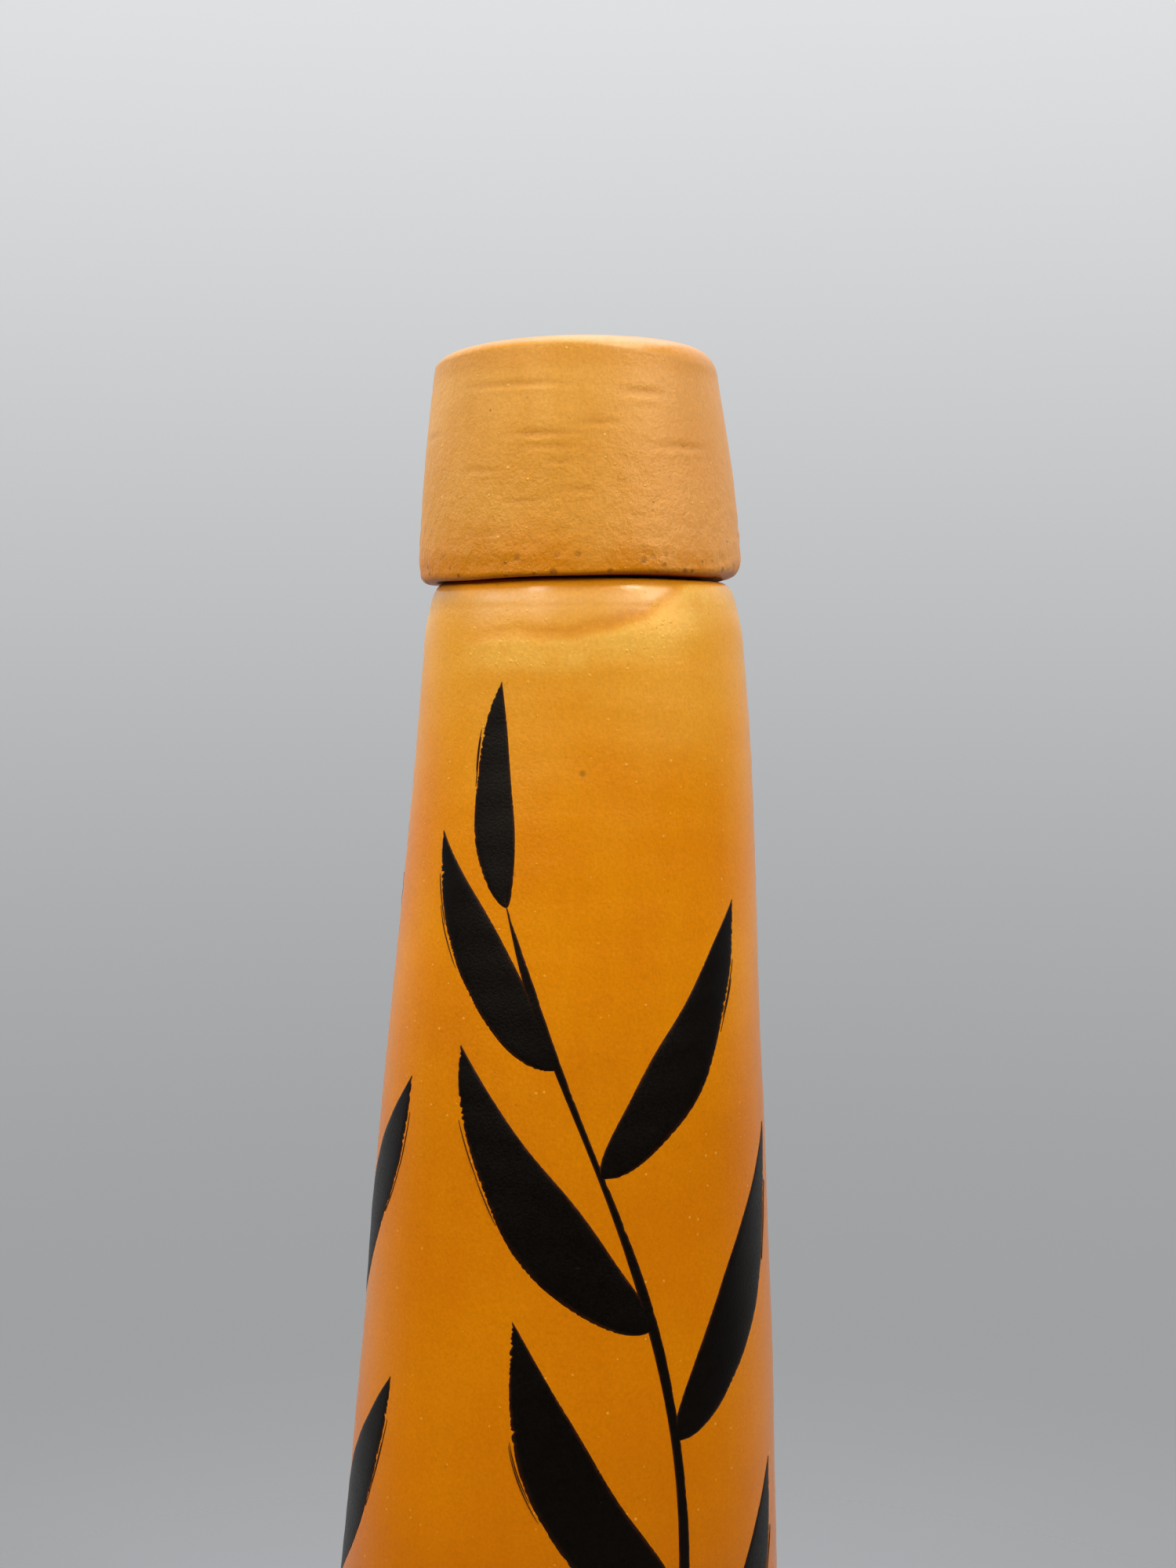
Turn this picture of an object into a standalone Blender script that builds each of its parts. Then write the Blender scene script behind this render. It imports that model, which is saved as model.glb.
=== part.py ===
"""Ceramic liquor bottle: a hollow, slightly leaning stoneware body closed by a ceramic cap on a cork.

Lengths are in metres and +Z is up. The origin is the centre of the foot, and the painted front faces -Y.
"""

import math

import bpy

# Bottle body
BODY_HEIGHT = 0.250  # foot to the flat seat that the cap stands on
BASE_RADIUS = 0.0408  # widest ring, just above the heel
FLANK_POWER = 1.25  # 1 is a straight cone, more swells the flank
LEAN = 0.0075  # the neck stands this far to +X of the foot's centre
LEAN_POWER = 1.65  # 1 is a straight lean, more bends it in towards the foot
WALL = 0.0055
FLOOR = 0.0075
HEEL_ROUND = 0.006
FOOT_RING_WIDTH = 0.008
FOOT_RECESS = 0.0018
INNER_HEEL_ROUND = 0.009

# Shoulder and neck
SHOULDER_ROUND = 0.0046
SHOULDER_WALL = 0.007  # clay between the seat and the cavity's ceiling
SEAT_WIDTH = 0.0079  # flat ring round the neck
BORE_RADIUS = 0.010
NECK_WALL = 0.0038
NECK_FILLET = 0.002
THROAT_ROUND = 0.0015
INNER_SHOULDER_ROUND = 0.006

# Cap
CAP_HEIGHT = 0.0391
CAP_OVERHANG = 0.0015  # the cap's rim line beyond the shoulder
CAP_TAPER = 0.0037  # loss of radius from the rim line to the top
CAP_ROOF = 0.006
CAP_CROWN = 0.0006  # rise of the top face towards its middle
CAP_TOP_ROUND = 0.0023
CAP_RIM_ROUND = 0.003
RIM_EASE = 0.0006  # rounding of the rim's inner edge
SEAT_LAND = 0.0010  # width of the ring where the rim stands on the seat
SOCKET_TAPER = 0.0013  # loss of the socket's radius from the rim to the ceiling
SOCKET_ROUND = 0.003

# Cork and the plaster that sets it in the cap
SETTING_DEPTH = 0.009
SETTING_ROUND = 0.0027
HEADROOM = 0.003  # between the neck's lip and the plaster
CORK_SET = 0.007  # length of cork held in the plaster
CORK_ENTRY = 0.022  # length of cork below the neck's lip
CORK_TAPER = 0.04  # loss of radius for each length down the cork
CORK_CHAMFER = 0.0006

# Clearances
SEAT_GAP = 0.0003  # cap above its seat
CORK_GAP = 0.0003  # cork to bore, at the lip
SET_GAP = 0.0003  # plaster to cap, and plaster to cork

# Facets
TURN_STEPS = 48
CORK_STEPS = 32
FLANK_STEPS = 12
ROUND_STEPS = 5

# Sizes that follow from those above
NECK_RADIUS = BORE_RADIUS + NECK_WALL
SEAT_EDGE_RADIUS = NECK_RADIUS + SEAT_WIDTH
SHOULDER_RADIUS = SEAT_EDGE_RADIUS + SHOULDER_ROUND
SHOULDER_FOOT = BODY_HEIGHT - SHOULDER_ROUND
CAVITY_TOP = BODY_HEIGHT - SHOULDER_WALL
CAP_RIM_RADIUS = SHOULDER_RADIUS + CAP_OVERHANG
SOCKET_RADIUS = SEAT_EDGE_RADIUS - SEAT_LAND - RIM_EASE

# Heights above the seat, in the stopper's own frame
CAP_TOP = SEAT_GAP + CAP_HEIGHT
CEILING = CAP_TOP - CAP_ROOF
SETTING_TOP = CEILING - SET_GAP
SETTING_FOOT = SETTING_TOP - SETTING_DEPTH
NECK_RISE = SETTING_FOOT - HEADROOM
CORK_TOP = SETTING_FOOT + CORK_SET
CORK_FOOT = NECK_RISE - CORK_ENTRY


def arc(centre_r, centre_z, radius, start_deg, end_deg, steps=ROUND_STEPS):
    """Points (r, z) along a round stretch, both ends included."""
    points = []
    for step in range(steps + 1):
        angle = math.radians(start_deg + (end_deg - start_deg) * step / steps)
        points.append((centre_r + radius * math.cos(angle), centre_z + radius * math.sin(angle)))
    return points


def flank_radius(z):
    """Outer radius of the body between the heel and the shoulder: a cone with a slight swell."""
    share = (z - HEEL_ROUND) / (SHOULDER_FOOT - HEEL_ROUND)
    return BASE_RADIUS - (BASE_RADIUS - SHOULDER_RADIUS) * share**FLANK_POWER


def flank(z_start, z_end, inset):
    """Points down or up the flank, between its two ends and without them."""
    points = []
    for step in range(1, FLANK_STEPS):
        z = z_start + (z_end - z_start) * step / FLANK_STEPS
        points.append((flank_radius(z) - inset, z))
    return points


def lean_at(z):
    """How far the body's centre line stands to +X at this height: none at the heel, LEAN at the seat."""
    share_down = (BODY_HEIGHT - z) / (BODY_HEIGHT - HEEL_ROUND)
    return LEAN * (1 - min(max(share_down, 0), 1) ** LEAN_POWER)


def socket_radius(z):
    """Radius of the cap's socket at a height above the seat."""
    return SOCKET_RADIUS - SOCKET_TAPER * (z - SEAT_GAP) / (CEILING - SEAT_GAP)


def cork_radius(z):
    """Radius of the cork at a height above the seat; it fits the bore at the neck's lip."""
    return BORE_RADIUS - CORK_GAP + CORK_TAPER * (z - NECK_RISE)


def cavity_profile():
    """Inside of the body, from the middle of its floor up to the bore."""
    heel_z = FLOOR + INNER_HEEL_ROUND
    heel_r = flank_radius(heel_z) - WALL - INNER_HEEL_ROUND
    top_z = CAVITY_TOP - INNER_SHOULDER_ROUND
    top_r = flank_radius(top_z) - WALL - INNER_SHOULDER_ROUND
    throat_r = BORE_RADIUS + THROAT_ROUND
    return [
        (0, FLOOR),
        *arc(heel_r, heel_z, INNER_HEEL_ROUND, -90, 0),
        *flank(heel_z, top_z, WALL),
        *arc(top_r, top_z, INNER_SHOULDER_ROUND, 0, 90),
        *arc(throat_r, CAVITY_TOP + THROAT_ROUND, THROAT_ROUND, 270, 180),
    ]


def outer_profile():
    """Outside of the body, from the neck's round lip down to the middle of the recessed foot."""
    lip_round = NECK_WALL / 2
    lip_centre = BODY_HEIGHT + NECK_RISE - lip_round
    foot_outer = BASE_RADIUS - HEEL_ROUND
    foot_inner = foot_outer - FOOT_RING_WIDTH
    return [
        *arc(BORE_RADIUS + lip_round, lip_centre, lip_round, 180, 0, 2 * ROUND_STEPS),
        *arc(NECK_RADIUS + NECK_FILLET, BODY_HEIGHT + NECK_FILLET, NECK_FILLET, 180, 270),
        *arc(SEAT_EDGE_RADIUS, SHOULDER_FOOT, SHOULDER_ROUND, 90, 0),
        *flank(SHOULDER_FOOT, HEEL_ROUND, 0),
        *arc(foot_outer, HEEL_ROUND, HEEL_ROUND, 0, -90),
        (foot_inner, 0),
        (foot_inner - FOOT_RECESS, FOOT_RECESS),
        (0, FOOT_RECESS),
    ]


def cap_profile():
    """The cap from the middle of its top, down its tapered side, round its rim and up into its socket."""
    slope = CAP_TAPER / CAP_HEIGHT
    top_r = CAP_RIM_RADIUS - CAP_TAPER - CAP_TOP_ROUND
    rim_r = CAP_RIM_RADIUS - slope * CAP_RIM_ROUND - CAP_RIM_ROUND
    shares = [step / ROUND_STEPS for step in range(ROUND_STEPS)]
    crown = [(top_r * share, CAP_TOP - CAP_CROWN * share**2) for share in shares]
    ceiling_r = socket_radius(CEILING - SOCKET_ROUND) - SOCKET_ROUND
    return [
        *crown,
        *arc(top_r, CAP_TOP - CAP_CROWN - CAP_TOP_ROUND, CAP_TOP_ROUND, 90, 0),
        *arc(rim_r, SEAT_GAP + CAP_RIM_ROUND, CAP_RIM_ROUND, 0, -90),
        *arc(SOCKET_RADIUS + RIM_EASE, SEAT_GAP + RIM_EASE, RIM_EASE, 270, 180),
        *arc(ceiling_r, CEILING - SOCKET_ROUND, SOCKET_ROUND, 0, 90),
        (0, CEILING),
    ]


def setting_profile():
    """Plaster filling the top of the cap's socket, with a blind hole for the cork."""
    top_r = socket_radius(SETTING_TOP - SETTING_ROUND) - SET_GAP - SETTING_ROUND
    return [
        (0, SETTING_TOP),
        *arc(top_r, SETTING_TOP - SETTING_ROUND, SETTING_ROUND, 90, 0),
        (socket_radius(SETTING_FOOT) - SET_GAP, SETTING_FOOT),
        (cork_radius(SETTING_FOOT) + SET_GAP, SETTING_FOOT),
        (cork_radius(CORK_TOP) + SET_GAP, CORK_TOP + SET_GAP),
        (0, CORK_TOP + SET_GAP),
    ]


def cork_profile():
    """Tapered cork with broken edges."""
    return [
        (0, CORK_TOP),
        (cork_radius(CORK_TOP) - CORK_CHAMFER, CORK_TOP),
        (cork_radius(CORK_TOP - CORK_CHAMFER), CORK_TOP - CORK_CHAMFER),
        (cork_radius(NECK_RISE), NECK_RISE),
        (cork_radius(CORK_FOOT + CORK_CHAMFER), CORK_FOOT + CORK_CHAMFER),
        (cork_radius(CORK_FOOT) - CORK_CHAMFER, CORK_FOOT),
        (0, CORK_FOOT),
    ]


def finish(name, colour, roughness):
    """A plain non-metal material."""
    material = bpy.data.materials.new(name)
    material.use_nodes = True
    shader = material.node_tree.nodes["Principled BSDF"]
    shader.inputs["Base Color"].default_value = (*colour, 1)
    shader.inputs["Roughness"].default_value = roughness
    shader.inputs["Metallic"].default_value = 0
    return material


def turned(name, profile, steps, material, collection):
    """A solid turned about its own Z axis from (r, z) points that start and end on the axis."""
    mesh = bpy.data.meshes.new(name)
    edges = [(index, index + 1) for index in range(len(profile) - 1)]
    mesh.from_pydata([(r, 0, z) for r, z in profile], edges, [])
    mesh.materials.append(material)
    solid = bpy.data.objects.new(name, mesh)
    collection.objects.link(solid)
    screw = solid.modifiers.new("turn", "SCREW")
    screw.axis = "Z"
    screw.steps = screw.render_steps = steps
    screw.use_merge_vertices = True
    screw.merge_threshold = 0.00001
    screw.use_smooth_shade = True
    return solid


def lean_over(solid):
    """Makes a turned solid a plain mesh, with every ring moved out to the leaning centre line."""
    bpy.context.view_layer.update()
    evaluated = solid.evaluated_get(bpy.context.evaluated_depsgraph_get())
    mesh = bpy.data.meshes.new_from_object(evaluated)
    mesh.name = solid.name
    for vertex in mesh.vertices:
        vertex.co.x += lean_at(vertex.co.z)
    mesh.shade_smooth()
    mesh.set_sharp_from_angle(angle=math.radians(40))
    solid.modifiers.clear()
    solid.data = mesh


def build_bottle(collection):
    glaze = finish("orange_glaze", (0.60, 0.18, 0.010), 0.42)
    body = turned("bottle_body", cavity_profile() + outer_profile(), TURN_STEPS, glaze, collection)
    lean_over(body)


def build_stopper(collection):
    """Cap, plaster and cork lift together, so they hang on one empty that stands on the lift's axis."""
    axis = bpy.data.objects.new("stopper_lift_axis", None)
    axis.location = (LEAN, 0, BODY_HEIGHT)
    collection.objects.link(axis)
    tan_glaze = finish("tan_glaze", (0.62, 0.24, 0.035), 0.5)
    plaster = finish("setting_plaster", (0.70, 0.66, 0.58), 0.9)
    cork = finish("natural_cork", (0.47, 0.27, 0.13), 0.85)
    pieces = (
        turned("cap", cap_profile(), TURN_STEPS, tan_glaze, collection),
        turned("cork_setting", setting_profile(), TURN_STEPS, plaster, collection),
        turned("cork_stopper", cork_profile(), CORK_STEPS, cork, collection),
    )
    for piece in pieces:
        piece.parent = axis


def main():
    for leftover in list(bpy.data.objects):
        bpy.data.objects.remove(leftover)
    collection = bpy.data.collections.new("ceramic_liquor_bottle")
    bpy.context.scene.collection.children.link(collection)
    build_bottle(collection)
    build_stopper(collection)


main()
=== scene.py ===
"""Looks of a leaning stoneware liquor bottle: its glaze, brushwork, bare clay, cap, plaster and cork."""

import bpy
import numpy as np
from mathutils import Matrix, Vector


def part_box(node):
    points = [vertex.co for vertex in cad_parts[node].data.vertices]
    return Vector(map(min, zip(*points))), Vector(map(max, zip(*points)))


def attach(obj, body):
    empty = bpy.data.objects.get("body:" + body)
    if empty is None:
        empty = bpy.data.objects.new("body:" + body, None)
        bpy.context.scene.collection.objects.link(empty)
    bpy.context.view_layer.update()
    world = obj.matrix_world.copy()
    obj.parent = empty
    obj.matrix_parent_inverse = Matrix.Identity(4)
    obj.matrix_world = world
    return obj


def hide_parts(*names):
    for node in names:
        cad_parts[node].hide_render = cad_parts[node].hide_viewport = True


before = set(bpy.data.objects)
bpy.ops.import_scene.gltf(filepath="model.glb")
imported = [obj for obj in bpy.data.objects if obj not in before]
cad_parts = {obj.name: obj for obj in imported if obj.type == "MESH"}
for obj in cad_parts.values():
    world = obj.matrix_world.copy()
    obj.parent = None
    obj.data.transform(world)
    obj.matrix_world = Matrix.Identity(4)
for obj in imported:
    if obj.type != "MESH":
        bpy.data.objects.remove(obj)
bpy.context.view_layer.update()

# Bottle body
# One hollow of stoneware clay, turned on a wheel and left leaning a little to the right as it dried.
# It was dipped in orange glaze inside and out. The neck, the seat that the cap stands on and the foot
# ring were waxed first, so they fired as bare clay.

body_low, body_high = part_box("bottle_body")
cap_low, cap_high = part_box("cap")

SEAT = 0.250
LIP = body_high.z
BASE_RADIUS = (body_high.y - body_low.y) / 2
NECK_AXIS = (cap_low.x + cap_high.x) / 2
LEAN_POWER = 1.65
BOWS = ((0.0003, 0.224, 0.024), (-0.0004, 0.166, 0.032))  # the centre line's bends: amount, height, reach
FLANK_POWER = 1.25
HEEL_ROUND = 0.006
SHOULDER_ROUND = 0.0046
SHOULDER_IN = 0.0025  # how far the flank rolls in to the seat
SHOULDER_DROP = 0.012  # and the height over which it does
SHOULDER_POWER = 2.3  # 2 is an ellipse, more is squarer
SEAT_EDGE_RADIUS = 0.0217
SHOULDER_RADIUS = SEAT_EDGE_RADIUS + SHOULDER_ROUND
SHOULDER_FOOT = SEAT - SHOULDER_ROUND
SEAT_RADIUS = SHOULDER_RADIUS - SHOULDER_IN
BORE_RADIUS = 0.010
NECK_RADIUS = 0.0138
WALL = 0.0055
FLOOR = 0.0075
CAVITY_TOP = SEAT - 0.007
FOOT_RING_WIDTH = 0.008
FOOT_RECESS = 0.0018
CLAY_ROUGH = 0.85
GLAZE_THICKNESS = 0.00015
SEAT_WAX = SEAT_RADIUS - 0.0002  # the wax reached this far out on the seat
HEEL_WAX = 0.0022  # and this far up the heel
WAX_BLUR = 0.0004  # the glaze thins out over this much to each side of the wax's edge
BODY_COLUMNS = 256
SWELL = 0.00016  # out of round
WOBBLE = 0.00006
RING_DEPTH = 0.000018
RING_PITCH = 0.0065
THUMB_DEPTH = 0.00010
RUBBED_LEFT = 0.0006  # how far the seat's edge was rubbed in
RUBBED_RIGHT = 0.0005
RUBBED_DOWN = 0.0018  # and how far down that fades
LAPS = ((0.0, 1.0), (2.3, -1.0), (-2.2, 1.0))  # angle and climb of each edge of the second dip
LAP_DEPTH = 0.00018
LAP_LEVEL = SEAT - 0.0098
LAP_RISE = 0.015  # for each radian
LAP_BEND = 0.17  # the angle at which an edge starts to climb
LAP_EASE = 0.2  # and how gently
LAP_LEDGE = 0.0010  # the ledge's top stands this far above the edge's line
IRON_SPOTS = (  # angle from the front, height and radius of each
    (-0.37, 0.2030, 0.0010), (0.0, 0.2190, 0.0008), (1.9, 0.126, 0.0011), (2.7, 0.214, 0.0008),
    (-1.5, 0.166, 0.0009), (-2.6, 0.071, 0.0011), (1.2, 0.058, 0.0008), (-0.9, 0.040, 0.0009),
)


def smooth_step(low, high, value):
    """0 below low, 1 above high and an S-shaped rise between them."""
    share = np.clip((value - low) / (high - low), 0, 1)
    return share * share * (3 - 2 * share)


def hump(value, centre, reach):
    """A bell curve: 1 at its centre, falling away over its reach."""
    return np.exp(-(((value - centre) / reach) ** 2))


def hand_waves(angle, height, seed, rounds, pitch, count=20):
    """Unevenness of hand work: a sum of cosines, each with a whole number of waves round the pot, up to
    rounds, and a wave up its height no shorter than pitch. It closes on itself and is about 1 high."""
    draw = np.random.default_rng(seed)
    total = 0
    for _ in range(count):
        turns = draw.integers(0, rounds + 1)
        climb = draw.uniform(-1, 1) * 2 * np.pi / pitch
        total = total + np.cos(turns * angle + climb * height + draw.uniform(0, 2 * np.pi))
    return total / np.sqrt(count / 2)


def arc(centre_r, centre_z, radius, start_deg, end_deg, count):
    """Rows of (r, z) along a round stretch: the centre plus radius times cosine and sine."""
    turn = np.radians(np.linspace(start_deg, end_deg, count))
    return np.stack([centre_r + radius * np.cos(turn), centre_z + radius * np.sin(turn)], axis=-1)


def line(start, end, count):
    """Rows of (r, z) evenly along a straight stretch, without its two ends."""
    share = np.linspace(0, 1, count + 2)[1:-1, None]
    return np.array(start) * (1 - share) + np.array(end) * share


def profile(*stretches):
    """Rows of (r, z) along a profile. A stretch is its own rows, or a count of rows to set on the straight
    line between the stretches beside it."""
    return np.concatenate([
        line(stretches[place - 1][-1], stretches[place + 1][0], rows) if isinstance(rows, int) else rows
        for place, rows in enumerate(stretches)
    ])


def flank_radius(height):
    """A cone whose radius eases from the base to the shoulder by a power of the height's share."""
    share = np.clip((height - HEEL_ROUND) / (SHOULDER_FOOT - HEEL_ROUND), 0, 1)
    return BASE_RADIUS - (BASE_RADIUS - SHOULDER_RADIUS) * share**FLANK_POWER


def flank(z_start, z_end, inset, count):
    """Rows of (r, z) along the flank, closer together near the shoulder."""
    share = np.linspace(0, 1, count + 2)[1:-1]
    height = z_start + (z_end - z_start) * (share**1.3 if z_end < z_start else share)
    return np.stack([flank_radius(height) - inset, height], axis=-1)


def lean(height):
    """Where the centre line stands along X: 0 at the heel and the neck's axis at the seat, on a power
    curve, with two slight bends below the shoulder."""
    share_down = np.clip((SEAT - height) / (SEAT - HEEL_ROUND), 0, 1)
    bend = sum(amount * hump(height, level, reach) for amount, level, reach in BOWS)
    return NECK_AXIS * (1 - share_down**LEAN_POWER) + bend * smooth_step(0, 0.008, SEAT - height)


def soft_corner(turn_deg, wide, tall, power):
    """A quarter of a superellipse: how far in and how far along the corner has come at each turn, from
    none at 0 degrees to wide and tall at 90."""
    turn = np.radians(turn_deg)
    return wide * (1 - np.cos(turn) ** (2 / power)), tall * np.sin(turn) ** (2 / power)


def wrapped(angle):
    """The same angle between half a turn back and half a turn on."""
    return np.angle(np.exp(1j * angle))


def along_laps(angle, height, shape, begins, ends):
    """Sum over the edges of the second dip of a shape, given by the height above that edge and the angle
    along it. Each edge is half a hyperbola, level at one end and climbing across the shoulder to the
    other, and it fades out at both."""
    total = 0
    for centre, climb in LAPS:
        away = climb * wrapped(angle - centre)
        past = away - LAP_BEND
        edge = LAP_LEVEL + LAP_RISE / 2 * (past + np.hypot(past, LAP_EASE))
        edge = edge + 0.0003 * np.sin(11 * away + 2 * centre) + 0.00012 * np.sin(29 * away + centre)
        plain = smooth_step(begins, begins + 0.55, away) * smooth_step(ends, ends - 0.3, away)
        total = total + plain * shape(height - edge, away)
    return total


def lap_step(above, away):
    """The second coat's edge: a soft ledge, over which the first coat lies back, most at the ledge and
    less by an exponential curve further up."""
    return -smooth_step(-0.0016, LAP_LEDGE, above) * np.exp(-np.maximum(above - LAP_LEDGE, 0) / 0.0028)


def lap_pool(above, away):
    """Where the glaze pools along the edge, round the top of the ledge."""
    return hump(above, LAP_LEDGE, 0.0013)


def lap_gloss(above, away):
    """Where the first coat shows alone and shines, above the edge: right down to the pooled glaze where
    the edge climbs, and dulling towards it over 7 mm where it is level."""
    begins = 0.0012 * smooth_step(0.2, 0.5, away) - 0.0002
    return smooth_step(begins, begins + 0.0072 - 0.0060 * smooth_step(0.1, 0.45, away), above)


def lap_thin_and_sheen(above, away):
    """Where the glaze thins below the edge, its paler colour also holding painted sheen: most just under
    it, and none from 7 mm down, or from 12 mm where the edge climbs."""
    down = 0.0070 + 0.0055 * smooth_step(0.1, 0.7, away)
    return smooth_step(-down, -0.35 * down, above) * smooth_step(0.0002, -0.0008, above)


def relief(angle, height):
    """How far the outside stands proud of a true round: slow out-of-round waves, faint throwing rings
    and the edges of the second dip, with thumbed hollows round the shoulder, and nothing at the foot and
    the seat, whose edge was rubbed down at the left and right."""
    swell = SWELL * np.cos(2 * angle + 0.6 + 9 * height) + WOBBLE * hand_waves(angle, height, 3, 4, 0.03)
    drift = hand_waves(angle, height, 5, 3, 0.06)
    rings = RING_DEPTH * np.cos(2 * np.pi * height / RING_PITCH + 1.5 * drift)
    thumbed = THUMB_DEPTH * hand_waves(angle, height, 7, 11, 0.012) * hump(height, SEAT - 0.005, 0.006)
    thumbed = thumbed * (1 - 0.9 * hump(wrapped(angle), 0, 1.0))
    laps = LAP_DEPTH * along_laps(angle, height, lap_step, -1.0, 0.7)
    fade = smooth_step(0.001, 0.012, height) * smooth_step(SEAT, SEAT - 0.0011, height)
    side = np.sin(angle)
    rubbed = RUBBED_LEFT * smooth_step(-0.2, -0.8, side) + RUBBED_RIGHT * smooth_step(0.2, 0.7, side)
    rubbed = rubbed * np.exp(np.minimum(height - SEAT, 0) / RUBBED_DOWN)
    return fade * (swell + rings + thumbed + laps) - rubbed


def round_grid(columns):
    """Angles evenly round the pot from its painted front, as one row of a grid."""
    return np.linspace(0, 2 * np.pi, columns, endpoint=False)[None, :]


def turned(axis, angle, radius, height):
    """Points round an upright axis that stands at a place along X. The angle counts from the painted
    front, which faces -Y, towards +X."""
    points = axis + radius * np.sin(angle), -radius * np.cos(angle), height
    return np.stack(np.broadcast_arrays(*points), axis=-1)


def ring_quads(index):
    """Quads between the rows of a grid of point numbers, closing up round the columns."""
    beside = np.roll(index, -1, axis=1)
    return np.stack([index[:-1], index[1:], beside[1:], beside[:-1]], axis=-1).reshape(-1, 4)


def skin_faces(count, columns):
    """Faces of one closed skin of rows by columns: quads between the rows, and a fan to a single point
    at each end."""
    index = 1 + np.arange((count - 2) * columns).reshape(count - 2, columns)
    first = np.stack([np.zeros(columns, int), index[0], np.roll(index[0], -1)], axis=-1)
    last = np.stack([index[-1], np.full(columns, index[-1, -1] + 1), np.roll(index[-1], -1)], axis=-1)
    return ring_quads(index), np.concatenate([first, last])


def new_object(name, data):
    """An object at the origin for a mesh, lamp or camera, linked into the scene."""
    piece = bpy.data.objects.new(name, data)
    bpy.context.scene.collection.objects.link(piece)
    return piece


def closed_skin(name, *skins):
    """One mesh of closed skins. Each is a grid of points and a set of named masks on that grid, and its
    first and last rows each draw together in one point."""
    points, faces, masks = [], [], {}
    start = 0
    for rows, skin_masks in skins:
        quads, fans = skin_faces(*rows.shape[:2])
        faces += (quads + start).tolist() + (fans + start).tolist()
        first, last = rows[0].mean(0)[None], rows[-1].mean(0)[None]
        points.append(np.concatenate([first, rows[1:-1].reshape(-1, 3), last]))
        for mask, values in skin_masks.items():
            flat = np.concatenate([[values[0].mean()], values[1:-1].ravel(), [values[-1].mean()]])
            masks.setdefault(mask, []).append(flat)
        start += len(points[-1])
    mesh = bpy.data.meshes.new(name)
    mesh.from_pydata(np.concatenate(points).tolist(), [], faces)
    for mask, parts in masks.items():
        values = np.concatenate(parts).astype(np.float32)
        mesh.attributes.new(mask, "FLOAT", "POINT").data.foreach_set("value", values)
    mesh.shade_smooth()
    return new_object(name, mesh)


def body_rows():
    """The body's profile from the middle of its inner floor, up the cavity, over the lip, down the outside
    and in to the middle of the foot, with the share of outside relief that each row takes."""
    inner_heel = 0.009
    heel_z = FLOOR + inner_heel
    heel_r = flank_radius(heel_z) - WALL - inner_heel
    inner_shoulder = 0.006
    top_z = CAVITY_TOP - inner_shoulder
    top_r = flank_radius(top_z) - WALL - inner_shoulder
    throat = 0.0015
    lip_round = (NECK_RADIUS - BORE_RADIUS) / 2
    fillet = 0.002
    foot_outer = BASE_RADIUS - HEEL_ROUND
    foot_inner = foot_outer - FOOT_RING_WIDTH
    turn = 90 * np.linspace(1, 0, 56) ** (SHOULDER_POWER / 2)
    inward, upward = soft_corner(turn, SHOULDER_IN, SHOULDER_DROP, SHOULDER_POWER)
    roll_z = SEAT - SHOULDER_DROP + upward
    outside = profile(
        np.stack([flank_radius(roll_z) - inward, roll_z], axis=-1),
        flank(SEAT - SHOULDER_DROP, HEEL_ROUND, 0, 156),
        arc(foot_outer, HEEL_ROUND, HEEL_ROUND, 0, -90, 20),
    )
    rows = profile(
        np.array([(0, FLOOR)]), 6,
        arc(heel_r, heel_z, inner_heel, -90, 0, 8),
        flank(heel_z, top_z, WALL, 24),
        arc(top_r, top_z, inner_shoulder, 0, 90, 8), 3,
        arc(BORE_RADIUS + throat, CAVITY_TOP + throat, throat, 270, 180, 5), 14,
        arc(BORE_RADIUS + lip_round, LIP - lip_round, lip_round, 180, 0, 14), 12,
        arc(NECK_RADIUS + fillet, SEAT + fillet, fillet, 180, 270, 7), 10,
        outside, 6,
        arc(foot_inner, FOOT_RECESS / 2, FOOT_RECESS / 2, 270, 180, 4),
        arc(foot_inner - FOOT_RECESS, FOOT_RECESS / 2, FOOT_RECESS / 2, 0, 90, 4), 6,
        np.array([(0, FOOT_RECESS)]),
    )
    begin = np.argmax((rows == outside[0]).all(axis=1))  # the row at which the outside starts
    proud = np.zeros((len(rows), 1))
    proud[begin:begin + len(outside)] = 1
    return rows, proud


rows, proud = body_rows()
angle = round_grid(BODY_COLUMNS)
side = np.sin(angle)
radius = rows[:, :1]
height = rows[:, 1:] + 0 * angle
seat_line = SEAT_WAX + 0.0004 * hand_waves(angle, 0, 11, 9, 1)
heel_line = HEEL_WAX + 0.0005 * hand_waves(angle, 0, 12, 11, 1)
past_wax = np.where(height > SEAT / 2, radius - seat_line, height - heel_line)
on_outside = proud * smooth_step(-WAX_BLUR, WAX_BLUR, past_wax)
before_lip = np.arange(len(rows))[:, None] < np.argmax(rows[:, 1])
on_inside = before_lip * smooth_step(WAX_BLUR, -WAX_BLUR, radius - BORE_RADIUS - 0.001)
off_seat = smooth_step(SEAT - 0.0006, SEAT - 0.0018, height)
# Painted light: a band of saturated pooled glaze just under the cap, painted lighter than the glaze to
# offset the shade that the cap casts on it. It reaches further down on the left than on the right.
seat_band_depth = 0.0028 - 0.0016 * smooth_step(0.0, 0.6, wrapped(angle))
# Painted shade: the shoulder is darkened down its left edge, and less down its right, where the outline
# turns away from the light.
side_shade = 0.65 * smooth_step(-0.70, -0.88, side) + 0.25 * smooth_step(0.84, 0.95, side)
# Painted shadow: the bare clay at the seat's edge is darkened, to stand in for the shadow in the gap under
# the cap.
burnt_and_shaded = smooth_step(0.0012, 0.0003, seat_line - radius) * smooth_step(SEAT - 0.0004, SEAT, height)
skin = radius + proud * relief(angle, height) + GLAZE_THICKNESS * on_outside
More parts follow.
